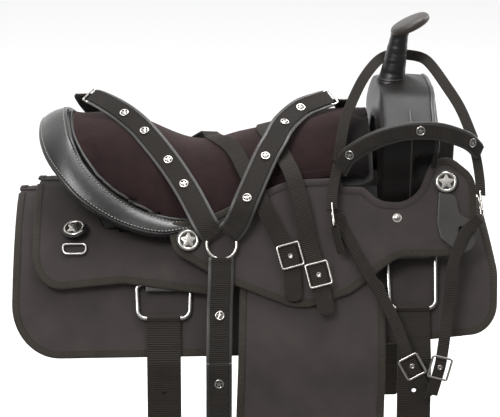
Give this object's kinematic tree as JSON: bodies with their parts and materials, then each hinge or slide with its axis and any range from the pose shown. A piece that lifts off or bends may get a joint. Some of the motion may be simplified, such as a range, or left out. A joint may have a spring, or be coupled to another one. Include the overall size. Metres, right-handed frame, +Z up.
{
  "type": "western saddle",
  "caption": "Synthetic western saddle with horn, suede seat, fenders and stirrups, with a matching breast collar laid over the seat and a headstall hung on the horn.",
  "frame": {"origin": "the point on the horse's spine under the middle of the skirts, at the height of the lining's inner face", "axes": "+X toward the horse's head (horn end), +Y toward the horse's left, +Z up"},
  "size_m": [0.7221, 0.5572, 0.9241],
  "materials": {
    "cordura": "matte woven nylon",
    "edge_tape": "ribbed nylon tape",
    "fleece": "short charcoal pile",
    "tree_wood": "sealed",
    "smooth_leather": "smooth, semi-gloss",
    "roll_leather": "smooth, polished",
    "suede": "brushed nap",
    "ground_board": "moulded",
    "steel": "zinc plated",
    "nickel": "polished nickel plate",
    "webbing": "ribbed nylon webbing",
    "strap_leather": "smooth strap leather",
    "tread_rubber": "moulded",
    "stirrup_cover": "leather wrapped"
  },
  "bodies": {
    "saddle": {"cantle_back": "roll_leather", "cantle_roll": "roll_leather", "cinch_keepers": "strap_leather", "concho_rosettes": "strap_leather", "fleece_lining": "fleece", "fork_cover": "smooth_leather", "ground_seat": "ground_board", "horn_cap": "smooth_leather", "horn_post": "steel", "horn_wrap": "smooth_leather", "jockey_rivets": "nickel", "rear_jockey_bindings": "edge_tape", "rear_jockey_left": "cordura", "rear_jockey_right": "cordura", "rigging_straps": "strap_leather", "seat_cover": "suede", "seat_jockey_bindings": "edge_tape", "seat_jockey_left": "cordura", "seat_jockey_right": "cordura", "skirt_bindings": "edge_tape", "skirt_left": "cordura", "skirt_right": "cordura", "star_conchos": "nickel", "tree_bars": "tree_wood", "tree_cantle": "tree_wood", "tree_fork": "tree_wood"},
    "breast_collar": {"collar_straps": "strap_leather", "collar_ring": "nickel", "collar_tugs": "webbing", "collar_conchos": "nickel", "tug_buckles": "nickel"},
    "girth_strap": {"girth_strap": "strap_leather", "girth_conchos": "nickel"},
    "headstall": {"crown_strap": "webbing", "browband": "strap_leather", "browband_conchos": "nickel"},
    "cheek_rear": {"cheek_strap_rear": "webbing", "cheek_buckle_rear": "nickel"},
    "cheek_front": {"cheek_strap_front": "webbing", "cheek_buckle_front": "nickel"},
    "fender_right": {"fender_right": "cordura", "fender_binding_right": "edge_tape"},
    "stirrup_right": {"stirrup_right": "stirrup_cover", "stirrup_bolt_right": "steel", "stirrup_tread_right": "tread_rubber"},
    "front_dee_right": {"front_dee_right": "nickel"},
    "front_billet_right": {"front_billet_right": "webbing"},
    "rear_dee_right": {"rear_dee_right": "nickel"},
    "rear_billet_right": {"rear_billet_right": "webbing"},
    "concho_dee_right": {"concho_dee_right": "nickel"},
    "fender_left": {"fender_left": "cordura", "fender_binding_left": "edge_tape"},
    "stirrup_left": {"stirrup_left": "stirrup_cover", "stirrup_bolt_left": "steel", "stirrup_tread_left": "tread_rubber"},
    "front_dee_left": {"front_dee_left": "nickel"},
    "front_billet_left": {"front_billet_left": "webbing"},
    "rear_dee_left": {"rear_dee_left": "nickel"},
    "rear_billet_left": {"rear_billet_left": "webbing"},
    "concho_dee_left": {"concho_dee_left": "nickel"}
  },
  "joints": [
    {"name": "fender_swing_right", "type": "hinge", "parent": "saddle", "child": "fender_right", "pos_m": [0.0776, -0.16861, -0.024], "axis": [0, 0.8829, -0.4695], "range_deg": [-4.5, 12]},
    {"name": "stirrup_swing_right", "type": "hinge", "parent": "fender_right", "child": "stirrup_right", "pos_m": [0.078, -0.25263, -0.481], "axis": [-1, 0, 0], "range_deg": [-35, 50]},
    {"name": "rear_dee_swing_right", "type": "hinge", "parent": "saddle", "child": "rear_dee_right", "pos_m": [-0.1415, -0.18579, -0.084], "axis": [-1, 0, 0], "range_deg": [0, 10]},
    {"name": "rear_billet_swing_right", "type": "hinge", "parent": "rear_dee_right", "child": "rear_billet_right", "pos_m": [-0.1415, -0.21011, -0.12974], "axis": [-1, 0, 0], "range_deg": [0, 40]},
    {"name": "front_dee_swing_right", "type": "hinge", "parent": "saddle", "child": "front_dee_right", "pos_m": [0.2275, -0.16452, -0.044], "axis": [-1, 0, 0], "range_deg": [0, 3.5]},
    {"name": "front_billet_swing_right", "type": "hinge", "parent": "front_dee_right", "child": "front_billet_right", "pos_m": [0.2275, -0.20489, -0.11993], "axis": [-1, 0, 0], "range_deg": [0, 3]},
    {"name": "concho_dee_swing_right", "type": "hinge", "parent": "saddle", "child": "concho_dee_right", "pos_m": [-0.273, -0.15637, -0.02957], "axis": [-1, 0, 0], "range_deg": [0, 60]},
    {"name": "fender_swing_left", "type": "hinge", "parent": "saddle", "child": "fender_left", "pos_m": [0.0776, 0.16861, -0.024], "axis": [0, 0.8829, 0.4695], "range_deg": [-4.5, 12]},
    {"name": "stirrup_swing_left", "type": "hinge", "parent": "fender_left", "child": "stirrup_left", "pos_m": [0.078, 0.25263, -0.481], "axis": [1, 0, 0], "range_deg": [-35, 50]},
    {"name": "rear_dee_swing_left", "type": "hinge", "parent": "saddle", "child": "rear_dee_left", "pos_m": [-0.1415, 0.18579, -0.084], "axis": [1, 0, 0], "range_deg": [0, 10]},
    {"name": "rear_billet_swing_left", "type": "hinge", "parent": "rear_dee_left", "child": "rear_billet_left", "pos_m": [-0.1415, 0.21011, -0.12974], "axis": [1, 0, 0], "range_deg": [0, 40]},
    {"name": "front_dee_swing_left", "type": "hinge", "parent": "saddle", "child": "front_dee_left", "pos_m": [0.2275, 0.16452, -0.044], "axis": [1, 0, 0], "range_deg": [0, 28]},
    {"name": "front_billet_swing_left", "type": "hinge", "parent": "front_dee_left", "child": "front_billet_left", "pos_m": [0.2275, 0.20489, -0.11993], "axis": [1, 0, 0], "range_deg": [0, 40]},
    {"name": "concho_dee_swing_left", "type": "hinge", "parent": "saddle", "child": "concho_dee_left", "pos_m": [-0.273, 0.15637, -0.02957], "axis": [1, 0, 0], "range_deg": [0, 60]},
    {"name": "breast_collar_lift", "type": "slide", "parent": "saddle", "child": "breast_collar", "axis": [0, 0, 1], "range_m": [0, 0.25]},
    {"name": "girth_strap_swing", "type": "hinge", "parent": "breast_collar", "child": "girth_strap", "pos_m": [-0.056, -0.19706, -0.04342], "axis": [-1, 0, 0], "range_deg": [0, 40]},
    {"name": "headstall_lift", "type": "slide", "parent": "saddle", "child": "headstall", "axis": [0, 0, 1], "range_m": [0, 0.25]},
    {"name": "cheek_rear_swing", "type": "hinge", "parent": "headstall", "child": "cheek_rear", "pos_m": [0.117, -0.1661, 0.018], "axis": [-1, 0, 0], "range_deg": [0, 14]},
    {"name": "cheek_front_swing", "type": "hinge", "parent": "headstall", "child": "cheek_front", "pos_m": [0.328, -0.17269, 0.012], "axis": [-1, 0, 0], "range_deg": [0, 14]}
  ],
  "couplings": [
    {"joint": "cheek_rear_swing", "follows": "cheek_front_swing", "ratio": 1}
  ]
}
